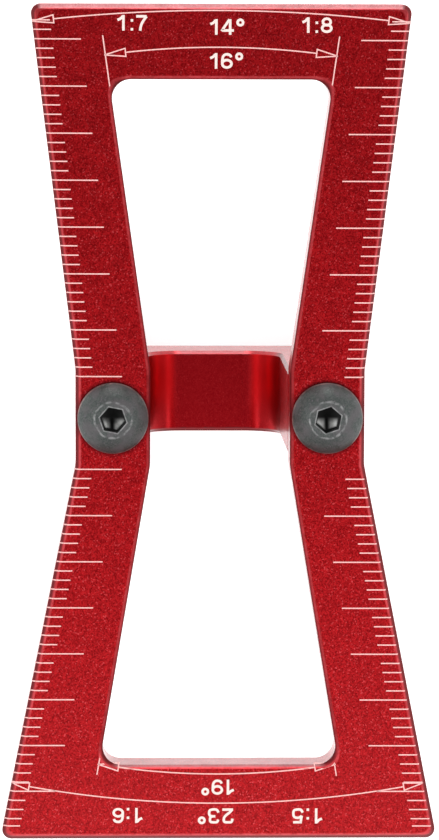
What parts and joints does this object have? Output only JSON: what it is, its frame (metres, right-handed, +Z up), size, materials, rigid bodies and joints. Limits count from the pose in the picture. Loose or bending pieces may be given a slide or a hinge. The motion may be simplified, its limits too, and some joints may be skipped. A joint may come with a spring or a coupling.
{
  "type": "marking template",
  "caption": "Red hourglass marking template for dovetail joints: a slanted-edge ring of aluminium plate with a U-shaped fence bracket screwed behind its waist.",
  "frame": {"origin": "middle of the bracket's back, on the surface that the template lies on, under the line through both screws", "axes": "+X across the waist to the right as the numbers 14 and 16 are read, +Y along the plate to the end with the 1:7 and 1:8 slopes, +Z up through the plate's marked face"},
  "size_m": [0.0468, 0.09, 0.0382],
  "materials": {
    "red_anodised_plate": "bead-blasted and red anodised, with fine pale laser-marked graduations",
    "red_anodised_bracket": "red anodised, smooth inside the web, fine grain on the legs",
    "laser_marking": "fine matt lines where the laser has bleached the red",
    "black_screw": "dark grey black-oxide finish, slightly worn round the socket"
  },
  "bodies": {
    "root": {"template_plate": "red_anodised_plate", "fence_bracket": "red_anodised_bracket", "screw_left": "black_screw", "screw_right": "black_screw"}
  },
  "joints": []
}
